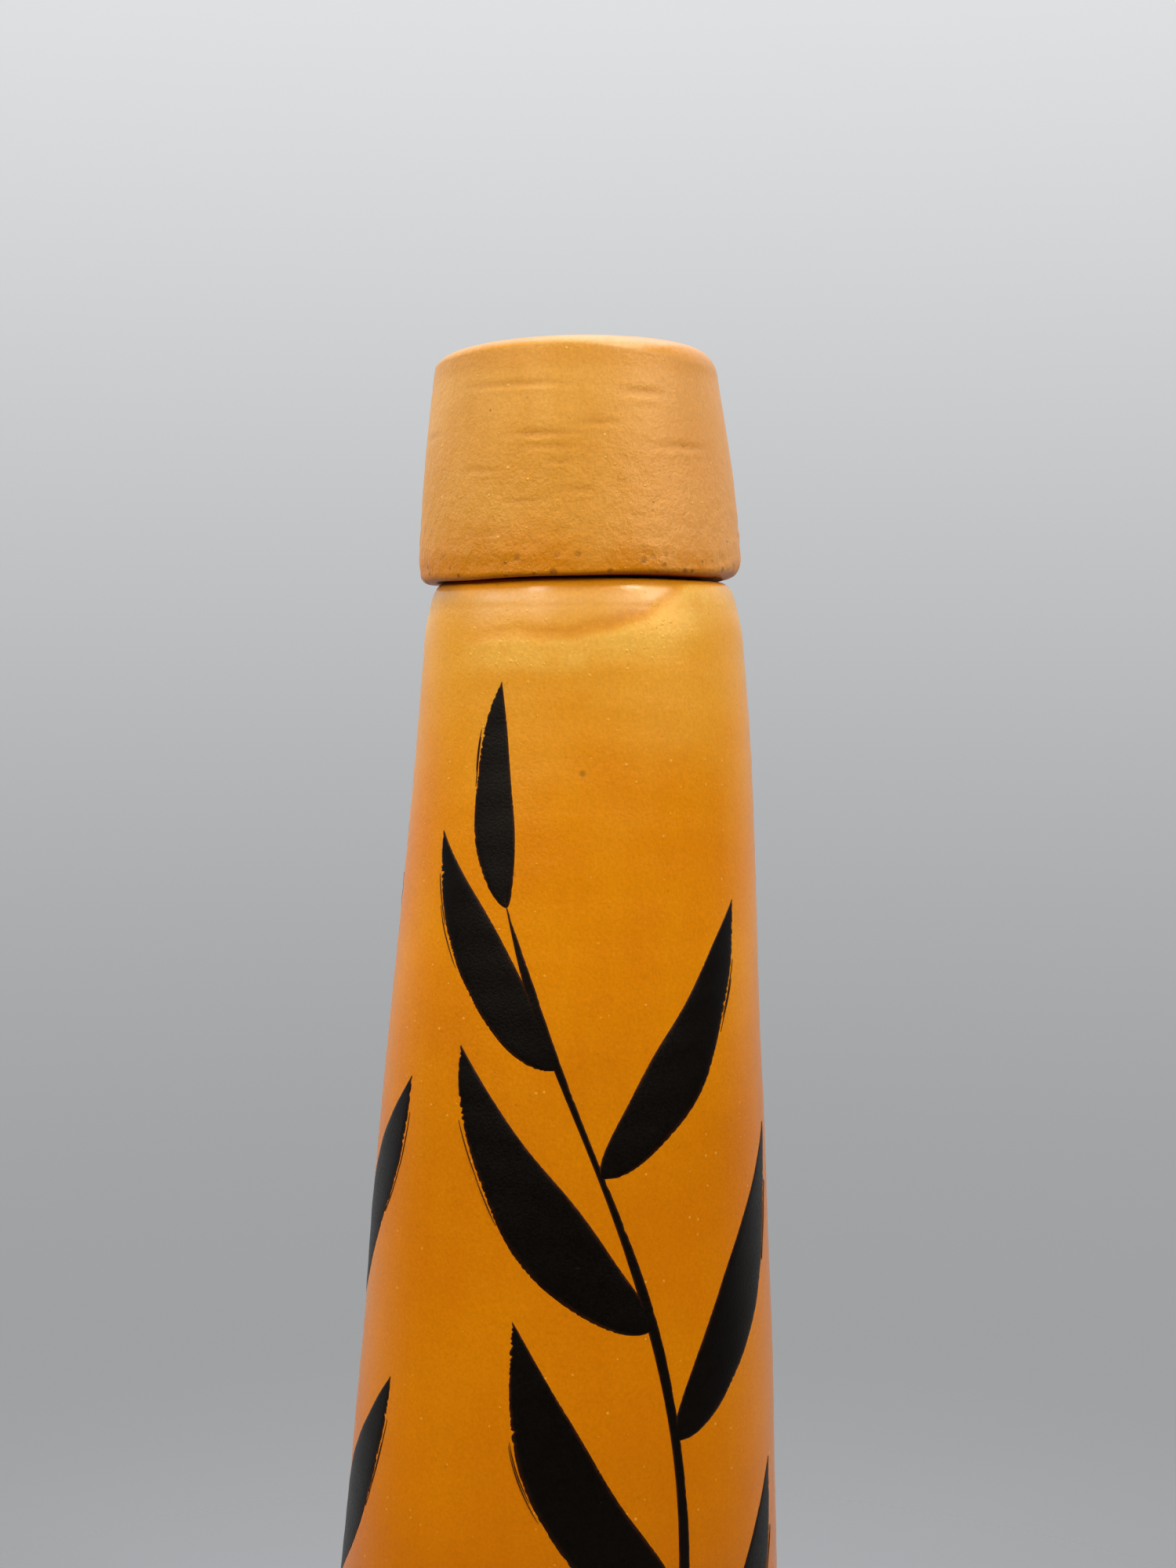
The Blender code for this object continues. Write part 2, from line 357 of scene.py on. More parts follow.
body = closed_skin("glazed_bottle_body", (
    turned(lean(height), angle, np.where(radius > 0, skin, 0), height),
    {
        "glaze_cover": np.maximum(on_outside, on_inside),
        "lap_pool": on_outside * along_laps(angle, height, lap_pool, -0.8, 0.8),
        "lap_thin_and_sheen": on_outside * np.minimum(along_laps(angle, height, lap_thin_and_sheen, -1.0, 1.5), 1),
        "lap_gloss": on_outside * off_seat * along_laps(angle, height, lap_gloss, -1.1, 0.95),
        "seat_pool_and_light": on_outside * smooth_step(SEAT - seat_band_depth, SEAT - 0.3 * seat_band_depth, height),
        "seat_side_shade": on_outside * side_shade * smooth_step(SEAT - 0.0065, SEAT - 0.0012, height),
        "burn_and_gap_shade": burnt_and_shaded,
    },
))


def add(kind, inputs, **settings):
    """Adds a shader node with its settings, in the tree that its inputs come from. Each input is a value,
    or another node's output to link."""
    tree = next(value.id_data for value in inputs.values() if isinstance(value, bpy.types.NodeSocket))
    node = tree.nodes.new("ShaderNode" + kind)
    for name, value in settings.items():
        setattr(node, name, value)
    for socket, value in inputs.items():
        if isinstance(value, bpy.types.NodeSocket):
            tree.links.new(value, node.inputs[socket])
        else:
            node.inputs[socket].default_value = value
    return node


def calc(operation, first, second=0.0, third=0.0):
    """A Math node's result."""
    return add("Math", {0: first, 1: second, 2: third}, operation=operation).outputs[0]


def times(product, *factors):
    """Numbers multiplied together."""
    for factor in factors:
        product = calc("MULTIPLY", product, factor)
    return product


def ramp(value, low, high, to_low=0.0, to_high=1.0):
    """A value stretched smoothly from one range to another."""
    inputs = {"Value": value, "From Min": low, "From Max": high, "To Min": to_low, "To Max": to_high}
    return add("MapRange", inputs, interpolation_type="SMOOTHSTEP").outputs[0]


def tint(share, first, second):
    """Two colours mixed by a share."""
    return add("Mix", {0: share, 6: first, 7: second}, data_type="RGBA").outputs[2]


def layered(colour, *layers):
    """A colour with others laid over it in turn, each given by its share and its red, green and blue."""
    for share, rgb in layers:
        colour = tint(share, colour, (*rgb, 1))
    return colour


def blend(share, first, second):
    """Two numbers mixed by a share."""
    return add("Mix", {0: share, 2: first, 3: second}).outputs[0]


def noise(vector, scale, detail=3.0, roughness=0.5):
    """Noise with a number of features per metre."""
    inputs = {"Vector": vector, "Scale": scale, "Detail": detail, "Roughness": roughness}
    return add("TexNoise", inputs).outputs[0]


def stretched(vector, scale):
    """Coordinates scaled unevenly, so that a pattern runs along one direction."""
    return add("Mapping", {"Vector": vector, "Scale": scale}).outputs[0]


def mask(where, name):
    """A mesh's own named mask, for the tree that the coordinates are in."""
    node = where.id_data.nodes.new("ShaderNodeAttribute")
    node.attribute_name = name
    return node.outputs["Fac"]


def new_group(name, inputs, outputs):
    """An empty shader group with named sockets of given kinds, its inputs and its output node."""
    group = bpy.data.node_groups.new(name, "ShaderNodeTree")
    for in_out, sockets in (("INPUT", inputs), ("OUTPUT", outputs)):
        for socket, kind in sockets.items():
            group.interface.new_socket(socket, in_out=in_out, socket_type="NodeSocket" + kind)
    return group, group.nodes.new("NodeGroupInput").outputs, group.nodes.new("NodeGroupOutput")


def put_out(group, output, **values):
    """Links values to a group's outputs by name."""
    for socket, value in values.items():
        group.links.new(value, output.inputs[socket])


def use_group(group, **inputs):
    """A shader group set into a material with its own values."""
    return add("Group", inputs, node_tree=group).outputs


def make_specks_group():
    """Spots scattered one to a cell, of unlike sizes, in a share of the cells."""
    group, given, output = new_group(
        "kiln_specks",
        {"Vector": "Vector", "Cells": "Float", "Share": "Float", "Size": "Float"},
        {"Mask": "Float"},
    )
    cells = add("TexVoronoi", {"Vector": given["Vector"], "Scale": given["Cells"]})
    chance = add("SeparateColor", {0: cells.outputs["Color"]}).outputs
    chosen = calc("LESS_THAN", chance[0], given["Share"])
    reach = times(given["Size"], calc("MULTIPLY_ADD", chance[1], 0.75, 0.25))
    nearness = calc("SUBTRACT", 1.0, calc("DIVIDE", cells.outputs["Distance"], reach))
    put_out(group, output, Mask=times(ramp(nearness, 0.0, 0.6), chosen))
    return group


def make_glaze_group():
    """Satin glaze: soft pools where it lies thick, faint runs, a fine grain and an orange-peel surface."""
    group, given, output = new_group(
        "pooled_glaze",
        {"Vector": "Vector", "Thin": "Color", "Thick": "Color", "Pools": "Float"},
        {"Color": "Color", "Grain": "Float", "Height": "Float", "Rough": "Float"},
    )
    vector = given["Vector"]
    pools = noise(vector, given["Pools"], 4.0, 0.55)
    runs = noise(stretched(vector, (1, 1, 0.06)), 300.0, 2.0)
    lie = calc("MULTIPLY_ADD", calc("SUBTRACT", runs, 0.5), 0.22, pools)
    colour = tint(ramp(lie, 0.2, 0.8), given["Thin"], given["Thick"])
    grain = noise(vector, 1800.0, 3.0, 0.7)
    height = calc("MULTIPLY_ADD", grain, 0.7, noise(vector, 700.0, 2.0, 0.6))
    rough = calc("MULTIPLY_ADD", pools, 0.10, 0.20)
    put_out(group, output, Color=colour, Grain=grain, Height=height, Rough=rough)
    return group


def grained(colour, grain, depth):
    """A colour made lighter and darker by a grain."""
    value = calc("MULTIPLY_ADD", calc("SUBTRACT", grain, 0.5), depth, 1.0)
    return add("HueSaturation", {"Color": colour, "Value": value}).outputs[0]


def make_clay_group():
    """Bare fired stoneware: a warm buff body, sandy grog and the lines of the wheel."""
    group, given, output = new_group(
        "bare_clay", {"Vector": "Vector"}, {"Color": "Color", "Height": "Float"},
    )
    vector = given["Vector"]
    cloud = noise(vector, 160.0, 4.0, 0.6)
    sand = noise(vector, 2600.0, 2.0, 0.7)
    wheel = noise(stretched(vector, (0.05, 0.05, 1)), 1500.0, 2.0)
    colour = layered(
        (0.50, 0.31, 0.17, 1),
        (ramp(cloud, 0.3, 0.7), (0.36, 0.20, 0.10)),
        (ramp(sand, 0.52, 0.75, 0.0, 0.55), (0.62, 0.45, 0.29)),
    )
    put_out(group, output, Color=colour, Height=calc("MULTIPLY_ADD", wheel, 0.8, sand))
    return group


specks_group = make_specks_group()
glaze_group = make_glaze_group()
clay_group = make_clay_group()


def specks(where, cells, share, size):
    """Spots in a share of a number of cells per metre, each up to a size counted in cells."""
    return use_group(specks_group, Vector=where, Cells=cells, Share=share, Size=size)["Mask"]


def over_clay(where, cover, colour, rough, height, burnt_and_shaded):
    """A glaze's colour, roughness and height where it covers the clay, and the clay's own elsewhere, with
    a darker colour along the edges where cap and bottle meet: painted shadow for the gap between them,
    and on the cap's rim also its own burned edge."""
    clay = use_group(clay_group, Vector=where)
    colour = tint(cover, clay["Color"], colour)
    colour = layered(colour, (times(mask(where, "burn_and_gap_shade"), 0.85), burnt_and_shaded))
    return colour, blend(cover, CLAY_ROUGH, rough), blend(cover, clay["Height"], height)


def new_material(name, **constants):
    """A material, its Principled shader, whose even values are set on its own sockets, and coordinates."""
    material = bpy.data.materials.new(name)
    material.use_nodes = True
    nodes = material.node_tree.nodes
    shader = nodes["Principled BSDF"]
    for socket, value in constants.items():
        shader.inputs[socket.replace("_", " ")].default_value = value
    return material, shader, nodes.new("ShaderNodeTexCoord").outputs["Object"]


def surface(shader, colour, rough, height, depth, **others):
    """Links colour, roughness, a bump of the given depth, in metres, and any others to the shader."""
    bump = add("Bump", {"Height": height, "Distance": depth, "Strength": 1.0}).outputs[0]
    sockets = {"Base Color": colour, "Roughness": rough, "Normal": bump, **others}
    for socket, value in sockets.items():
        shader.id_data.links.new(value, shader.inputs[socket.replace("_", " ")])


def wandering_level(where, scale, reach):
    """Height above the foot, pushed up and down by a noise, so that colours change without a hard line."""
    level = add("SeparateXYZ", {0: where}).outputs[2]
    wander = calc("SUBTRACT", noise(where, scale), 0.5)
    return calc("MULTIPLY_ADD", wander, reach, level)


def make_body_finish():
    """Orange glaze over the body: deeper towards the foot and paler at the shoulder, partly its own colour
    and partly painted shade and painted sheen; paler below the edges of the second dip, a colour that also
    holds painted sheen, and glossy above them; a band of pooled glaze under the cap, painted lighter
    against the cap's shade; painted shade down the shoulder's left and right edges; pits, pale specks and
    a few iron spots. Where it was waxed the clay is bare, and it is painted dark along the seat's edge as
    the shadow in the gap under the cap."""
    material, shader, where = new_material(
        "orange_glaze", Specular_IOR_Level=0.3, Specular_Tint=(1.0, 0.75, 0.35, 1), Coat_Roughness=0.23,
    )
    glaze = use_group(
        glaze_group, Vector=where, Pools=38.0,
        Thin=(0.690, 0.234, 0.0010, 1), Thick=(0.618, 0.172, 0.0003, 1),
    )
    level = wandering_level(where, 70.0, 0.03)
    patchy = ramp(noise(where, 160.0, 4.0, 0.6), 0.3, 0.65)
    thin = times(mask(where, "lap_thin_and_sheen"), ramp(patchy, 0.0, 1.0, 0.35, 0.85))
    pool = times(mask(where, "lap_pool"), ramp(patchy, 0.0, 1.0, 0.3, 0.65))
    gloss = times(mask(where, "lap_gloss"), ramp(patchy, 0.0, 1.0, 0.5, 0.8))
    iron = 0.0
    for turn, height, size in IRON_SPOTS:
        inputs = {0: where, 1: turned(lean(height), turn, flank_radius(height), height).tolist()}
        away = add("VectorMath", inputs, operation="DISTANCE").outputs["Value"]
        iron = calc("MAXIMUM", ramp(away, size, 0.2 * size), iron)
    pits = specks(where, 620.0, 0.25, 0.22)
    dark = calc("MAXIMUM", times(iron, 0.5), times(pits, 0.2))
    froth = times(specks(where, 900.0, 0.6, 0.36), ramp(thin, 0.0, 0.5))
    pale = calc("MAXIMUM", specks(where, 700.0, 0.25, 0.24), froth)
    colour = layered(
        glaze["Color"],
        # Deeper towards the foot and paler, yellower at the shoulder: partly the glaze's own colour,
        # partly painted shade and painted sheen for light that falls from above.
        (ramp(level, 0.198, 0.152, 0.0, 0.5), (0.430, 0.106, 0.0003)),
        (ramp(level, 0.130, 0.060, 0.0, 0.8), (0.380, 0.088, 0.0002)),
        (ramp(level, 0.207, 0.243, 0.0, 0.8), (0.72, 0.315, 0.026)),
        # paler glaze below the edges, its colour also holding painted sheen
        (thin, (0.77, 0.395, 0.058)),
        (pool, (0.545, 0.160, 0.002)),
        # pooled glaze under the cap, painted lighter against the cap's shade
        (times(mask(where, "seat_pool_and_light"), 0.85), (0.820, 0.275, 0.0008)),
        # painted shade down the shoulder's left and right edges
        (mask(where, "seat_side_shade"), (0.28, 0.105, 0.004)),
        (dark, (0.16, 0.070, 0.008)),
        (times(pale, 0.4), (0.85, 0.42, 0.04)),
    )
    colour = grained(colour, glaze["Grain"], 0.45)
    height = calc("SUBTRACT", glaze["Height"], times(dark, 1.2))
    height = calc("MULTIPLY_ADD", pale, 0.8, height)
    cover = ramp(mask(where, "glaze_cover"), 0.35, 0.65)
    # the body's dark edge colour here is painted shadow for the gap under the cap
    finish = over_clay(where, cover, colour, glaze["Rough"], height, burnt_and_shaded=(0.16, 0.045, 0.008))
    surface(shader, *finish, depth=0.00006, Coat_Weight=gloss)
    return material


body.data.materials.append(make_body_finish())
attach(body, "bottle")
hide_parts("bottle_body")

# Brushwork
# Sprigs of long leaves in black enamel, painted on the glaze with a soft round brush and fired again.
# The enamel stands a little proud of the glaze. One edge of each stroke is clean, the bristles left the
# other one ragged, and the leaves run out in dry hairs.

ENAMEL_LIFT = 0.00010
ENAMEL_SUNK = 0.00012
DRY_EDGE = 0.00035
STEM_HALF_WIDTH = 0.00095
STEM_BITE = 0.00016  # how deep the bristles bite into a stem's ragged edge
CLEAN_BITE = 0.00008  # into a leaf's clean edge
RAGGED_BITE = 0.00025  # into its ragged edge
DRY_BITE = 0.00045  # and more where the brush runs dry
CLEAN_SIDE = 0.8  # share of a leaf's half-width on its clean side
RAGGED_SIDE = 1.2
HAIR_GAPS = (0.00012, 0.00034)
HAIR_HALF_WIDTHS = (0.00010, 0.00011)
STEM_STEPS = 330
LEAF_STEPS = 260
ACROSS_STEPS = 13

# Each sprig: its name, the foot of its stem (degrees round from the front, height), the stem's heading
# (degrees from upright, right is positive), its bend and sway (degrees) and its length, and the leaves:
# share of the way up the stem, heading from upright, bend, length and half-width.
SPRIGS = (
    ("front_sprig", (27, 0.022), 0, -18, 9, 0.184, (
        (0.09, -40, 20, 0.050, 0.0050), (0.22, 40, -14, 0.050, 0.0056), (0.34, -44, 26, 0.058, 0.0062),
        (0.50, 40, -18, 0.054, 0.0060), (0.60, -54, 34, 0.056, 0.0060), (0.74, 40, -16, 0.050, 0.0054),
        (0.84, -46, 26, 0.044, 0.0048), (0.985, -16, 22, 0.036, 0.0036),
    )),
    ("right_sprig", (145, 0.024), -2, 14, -10, 0.170, (
        (0.12, 38, -16, 0.048, 0.0052), (0.27, -42, 16, 0.052, 0.0058), (0.43, 42, -26, 0.056, 0.0060),
        (0.57, -38, 14, 0.050, 0.0056), (0.70, 44, -30, 0.048, 0.0054), (0.84, -32, 14, 0.044, 0.0046),
        (0.985, 14, -18, 0.036, 0.0036),
    )),
    ("left_sprig", (256, 0.030), 4, -20, 8, 0.168, (
        (0.14, -36, 18, 0.048, 0.0052), (0.29, 40, -16, 0.050, 0.0058), (0.42, -42, 26, 0.054, 0.0060),
        (0.58, 38, -14, 0.050, 0.0056), (0.71, -42, 28, 0.046, 0.0052), (0.86, 32, -14, 0.042, 0.0044),
        (0.985, -14, -16, 0.034, 0.0034),
    )),
)


def brush_path(start_angle, start_height, heading, bend, sway, length, count):
    """A path on the flank. It sets off at a heading from upright, which turns by bend over the length and
    sways once to each side. Its height and its angle round the pot are running sums of steps by the
    heading's cosine and sine."""
    share = np.linspace(0, 1, count)
    course = np.radians(heading + bend * share + sway * np.sin(2 * np.pi * share))
    step = length / (count - 1)
    height = start_height + step * np.concatenate([[0], np.cumsum(np.cos(course[:-1]))])
    turn = step * np.sin(course[:-1]) / flank_radius(height[:-1])
    return share, start_angle + np.concatenate([[0], np.cumsum(turn)]), height


def bristle_edge(share, length, seed):
    """Raggedness along an edge: fine cosine waves of 0.4 to 2.5 mm, which come and go over stretches of
    6 to 15 mm. About 1 at its deepest."""
    draw = np.random.default_rng(seed)
    fine = 2 * np.pi * length / draw.uniform(0.0004, 0.0025, (18, 1))
    slow = 2 * np.pi * length / draw.uniform(0.006, 0.015, (5, 1))
    ripple = np.cos(fine * share + draw.uniform(0, 2 * np.pi, (18, 1))).sum(0) / 6
    swing = np.cos(slow * share + draw.uniform(0, 2 * np.pi, (5, 1))).sum(0) / 1.6
    patches = 0.25 + 0.75 * smooth_step(-0.6, 1.2, swing)
    return patches * np.clip(0.3 + 0.6 * ripple, 0, 1.3)


def beside(angle, height, reach):
    """Points a given reach to the right of each point of a path, measured along the flank."""
    radius = flank_radius(height)
    along_x = np.gradient(angle) * radius
    along_z = np.gradient(height)
    size = np.hypot(along_x, along_z)
    at_angle = angle[:, None] + (along_z / size / radius)[:, None] * reach
    return at_angle, height[:, None] - (along_x / size)[:, None] * reach


def enamel_skin(angle, height, left, right):
    """A closed film of enamel along a path. Across the path it reaches the left and right half-widths, and
    it rises from its edges to its lift above the glaze, with its underside sunk into the glaze."""
    over = np.sin(np.linspace(np.pi / 2, -np.pi / 2, ACROSS_STEPS))
    across = np.concatenate([over, over[-2:0:-1]])
    lift = np.concatenate([ENAMEL_LIFT * (1 - over**8), np.full(ACROSS_STEPS - 2, -ENAMEL_SUNK)])
    half_width = np.where(across > 0, right[:, None], left[:, None])
    at_angle, at_height = beside(angle, height, half_width * across)
    stands = flank_radius(at_height) + relief(at_angle, at_height) + GLAZE_THICKNESS + lift
    thin = smooth_step(DRY_EDGE, 0, half_width * (1 - np.abs(across)))
    return turned(lean(at_height), at_angle, stands, at_height), {"enamel_thin": thin}


def stem_stroke(foot, heading, bend, sway, length, seed):
    """A thin stroke whose width breathes slowly, from a pressed start to a lifted end."""
    turn, rise = foot
    share, angle, height = brush_path(np.radians(turn), rise, heading, bend, sway, length, STEM_STEPS)
    press = 0.85 + 0.2 * np.cos(9 * share + seed) + 0.12 * np.cos(23 * share + 2 * seed)
    ends = smooth_step(0, 0.012, share) ** 0.5 * smooth_step(1, 0.9, share) ** 0.7
    width = STEM_HALF_WIDTH * press * ends
    ragged = width - np.minimum(STEM_BITE * bristle_edge(share, length, seed), 0.4 * width)
    return (share, angle, height), enamel_skin(angle, height, width, ragged)


def leaf_strokes(angle, height, heading, bend, length, half_width, seed):
    """One press of the brush: narrow where it lands, widest two fifths of the way along and drawn out to
    a point, with its belly on the side it bends away from. That side dries first, so it ends in a ragged
    edge with stray hairs beside it."""
    draw = np.random.default_rng(seed)
    sway = draw.uniform(-4, 4)
    share, angle, height = brush_path(angle, height, heading, bend, sway, length, LEAF_STEPS)
    swell = half_width * share**0.62 * (1 - share) ** 0.92 / 0.357
    swell = swell * (1 + 0.05 * np.cos(draw.uniform(8, 14) * share + draw.uniform(0, 6)))
    bite = np.minimum(CLEAN_BITE * bristle_edge(share, length, seed + 1), 0.4 * swell)
    clean = CLEAN_SIDE * swell - bite
    dryness = RAGGED_BITE + DRY_BITE * smooth_step(0.45, 0.95, share)
    bite = np.minimum(dryness * bristle_edge(share, length, seed), 0.7 * swell)
    ragged = RAGGED_SIDE * swell - bite
    side = 1 if bend < 0 else -1
    skins = [enamel_skin(angle, height, *((clean, ragged) if side > 0 else (ragged, clean)))]
    for gap in HAIR_GAPS:
        begin = draw.integers(120, 190)
        stretch = slice(begin, begin + draw.integers(35, 65))
        thick = np.sin(np.linspace(0, np.pi, len(share[stretch]))) ** 0.6
        aside = side * (RAGGED_SIDE * swell[stretch] + gap) * np.linspace(1, 1.06, len(thick))
        hair_angle, hair_height = beside(angle[stretch], height[stretch], aside[:, None])
        left, right = (half * thick for half in HAIR_HALF_WIDTHS)
        skins.append(enamel_skin(hair_angle[:, 0], hair_height[:, 0], left, right))
    return skins


def make_enamel():
    """Black enamel, brown where it thins out at its edges, with a grainy face, burst bubbles and dust."""
    material, shader, where = new_material(
        "black_enamel", Specular_IOR_Level=0.12, Specular_Tint=(1.0, 0.8, 0.62, 1),
    )
    cloud = noise(where, 500.0, 3.0)
    edge = times(mask(where, "enamel_thin"), ramp(cloud, 0.3, 0.6, 0.3, 0.9))
    dust = times(specks(where, 230.0, 0.05, 0.05), 0.5)
    colour = layered(
        (0.0003, 0.0002, 0.0002, 1),
        (cloud, (0.0024, 0.0014, 0.0009)),
        (edge, (0.055, 0.013, 0.002)),
        (dust, (0.32, 0.29, 0.24)),
    )
    bubbles = specks(where, 300.0, 0.14, 0.16)
    grain = noise(where, 2400.0, 3.0, 0.65)
    height = calc("MULTIPLY_ADD", bubbles, -0.8, grain)
    surface(shader, colour, ramp(grain, 0.3, 0.7, 0.30, 0.42), height, depth=0.00005)
    return material


black_enamel = make_enamel()
for number, (name, foot, heading, bend, sway, length, leaves) in enumerate(SPRIGS):
    stem, stem_skin = stem_stroke(foot, heading, bend, sway, length, 40 + number)
    skins = [stem_skin]
    for leaf_number, (share, *leaf) in enumerate(leaves):
        at_angle = np.interp(share, stem[0], stem[1])
        at_height = np.interp(share, stem[0], stem[2])
        skins += leaf_strokes(at_angle, at_height, *leaf, 100 * (number + 1) + leaf_number)
    sprig = closed_skin(name, *skins)
    sprig.data.materials.append(black_enamel)
    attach(sprig, "bottle")

# Cap
# A small hollow cone of the same clay, turned upside down on the wheel and trimmed by hand, so its top is
# a little askew and its rim uneven. Its glaze is thinner and pinker than the bottle's.

CAP_RIM = cap_low.z
CAP_TOP = cap_high.z
CAP_RIM_RADIUS = (cap_high.y - cap_low.y) / 2
CAP_TAPER = 0.0037
CAP_BULGE = 0.00035  # the side swells this much half way up
RIM_TUCK = 0.00022  # and draws in this much at the rim
CAP_CROWN = 0.00037  # the top falls this much from its middle to the front and back
CAP_CROWN_SIDE = 0.00068  # and this much to the sides
CAP_TILT = 0.00075  # the top is this much lower at its left edge and higher at its right
TOP_POWER = 2.08  # 2 is an ellipse, more is squarer
TOP_EDGE_WIDE = (0.0053, 0.00135, 0.0027)  # at the left, more where wiped, more in front and behind
TOP_EDGE_TALL = (0.0028, 0.0023, -0.0005)
RIM_EDGE_WIDE = (0.0009, 0.0005, 0.0008)  # in front, more where worn, more at the sides
RIM_EDGE_TALL = (0.0008, 0.0014, 0.0008)
CAP_ASIDE = 0.0004  # the cap was set this far to the left of its cork
CAP_SKEW = 0.0008  # its top stands this much further to the left
EDGE_HIGHLIGHTS = ((0.12, 0.75), (2.5, 0.6), (-2.2, 0.7))  # angle and reach of each painted highlight along the top edge
RIM_SAG = 0.00045  # the rim's outer edge hangs this far below the seat on the left
RIM_LIFT = 0.00085  # and rises by this much from there to the right
RIM_KICK = 0.0004  # and by this much more at its far right
RIM_WAVES = 0.00008
CAP_WAVES = 0.00014
CAP_LUMPS = 0.000036
SOCKET_RADIUS = 0.0201
SOCKET_TAPER = 0.0013
SOCKET_ROUND = 0.003
CAP_CEILING = CAP_TOP - 0.006
CAP_COLUMNS = 320
GROOVE_DEPTH = 0.00009  # from which a groove takes its full colour
BACK_MARKS = 16
FRONT_MARKS = (  # the turning rib's marks in front: angle, height above the rim and reach
    (-0.41, 0.0302, 0.34), (-0.23, 0.0222, 0.20), (-0.16, 0.0202, 0.16), (-0.09, 0.0177, 0.08),
    (-0.66, 0.0169, 0.14), (-0.32, 0.0118, 0.13), (0.15, 0.0239, 0.12), (0.73, 0.0207, 0.22),
    (-0.55, 0.0070, 0.12), (0.02, 0.0133, 0.10), (0.45, 0.0290, 0.16),
)


def edge_size(sizes, wear, facing):
    """How wide or tall a rounded edge is at each angle: a least size, more by the wear, and more by the
    square of the facing."""
    least, worn, faced = sizes
    return least + worn * wear + faced * facing**2


def cap_rows(angle):
    """The cap's profile at each angle, from the middle of its top, down its side, round the rim and up the
    socket. The top edge and the rim are rounded most on the right, where they were wiped."""
    side, front = np.sin(angle), np.cos(angle)
    wiped = smooth_step(-0.2, 1.0, side)
    wide, tall = (edge_size(sizes, wiped, front) for sizes in (TOP_EDGE_WIDE, TOP_EDGE_TALL))
    crown = CAP_CROWN + (CAP_CROWN_SIDE - CAP_CROWN) * side**2
    inward, upward = soft_corner(np.linspace(90, 2, 30)[1:, None], wide, tall, TOP_POWER)
    corner_r = CAP_RIM_RADIUS - CAP_TAPER - inward
    corner_z = CAP_TOP - crown - tall + upward
    share = np.linspace(0, 1, 20)[:, None]
    crown_r = (CAP_RIM_RADIUS - CAP_TAPER - wide) * share
    crown_z = CAP_TOP - crown * share**2
    worn = smooth_step(0.82, 1.0, side)
    wide, tall = (edge_size(sizes, worn, side) for sizes in (RIM_EDGE_WIDE, RIM_EDGE_TALL))
    inward, downward = soft_corner(np.linspace(0, 90, 20)[:, None], wide, tall, 2.0)
    side_z = CAP_RIM + tall + (corner_z[-1] - CAP_RIM - tall) * np.linspace(1, 0, 110)[1:-1, None]
    lower_z = np.concatenate([side_z, CAP_RIM + tall - downward])
    share_down = (corner_z[-1] - lower_z) / (corner_z[-1] - CAP_RIM)
    lower_r = corner_r[-1] + (CAP_RIM_RADIUS - corner_r[-1]) * share_down
    lower_r = lower_r + CAP_BULGE * np.sin(np.pi * share_down)
    tuck = RIM_TUCK * (1 + 1.3 * smooth_step(-0.3, -1.0, side))
    lower_r = lower_r - tuck * smooth_step(0.0045, 0.0005, lower_z - CAP_RIM)
    lower_r[-len(inward):] -= inward
    ease = 0.0006
    socket_top = CAP_CEILING - SOCKET_ROUND
    ceiling_r = SOCKET_RADIUS - SOCKET_TAPER - SOCKET_ROUND
    under = profile(
        np.array([(SEAT_EDGE_RADIUS + 0.0016, CAP_RIM)]), 6,
        arc(SOCKET_RADIUS + ease, CAP_RIM + ease, ease, 270, 180, 4), 20,
        arc(ceiling_r, socket_top, SOCKET_ROUND, 0, 90, 8), 5,
        np.array([(0, CAP_CEILING)]),
    )[1:]
    cap_r = np.concatenate([crown_r, corner_r, lower_r, under[:, :1] + 0 * angle])
    cap_z = np.concatenate([crown_z, corner_z, lower_z, under[:, 1:] + 0 * angle])
    outside = np.ones_like(cap_r)
    outside[-len(under):] = 0
    return cap_r, cap_z, outside


def tool_marks(angle, height):
    """Short level grooves left by the turning rib: each is a Gaussian trough, long round the cap and
    thin up its side, with a raised lip just below it."""
    draw = np.random.default_rng(8)
    ranges = (1.2, 5.1), (0.008, 0.034), (0.1, 0.3)
    scattered = zip(*[draw.uniform(low, high, BACK_MARKS) for low, high in ranges])
    total = 0
    for centre, level, reach in (*FRONT_MARKS, *scattered):
        away = wrapped(angle - centre)
        climb = draw.uniform(-0.0012, 0.0012) * away
        up = (height - CAP_RIM - level - climb) / draw.uniform(0.0005, 0.0008)
        trough = np.exp(-(up**2)) - 0.6 * np.exp(-((up + 1.6) ** 2))
        total = total - draw.uniform(0.00007, 0.00012) * trough * hump(away, 0, reach)
    return total


def cap_relief(angle, height):
    """Unevenness of the cap's outside: slow waves, tool marks and a lumpy lower half."""
    slow = CAP_WAVES * hand_waves(angle, height, 21, 4, 0.03)
    lumps = CAP_LUMPS * hand_waves(angle, height, 22, 48, 0.0028, 60)
    return slow + lumps * smooth_step(CAP_RIM + 0.03, CAP_RIM, height) + tool_marks(angle, height)


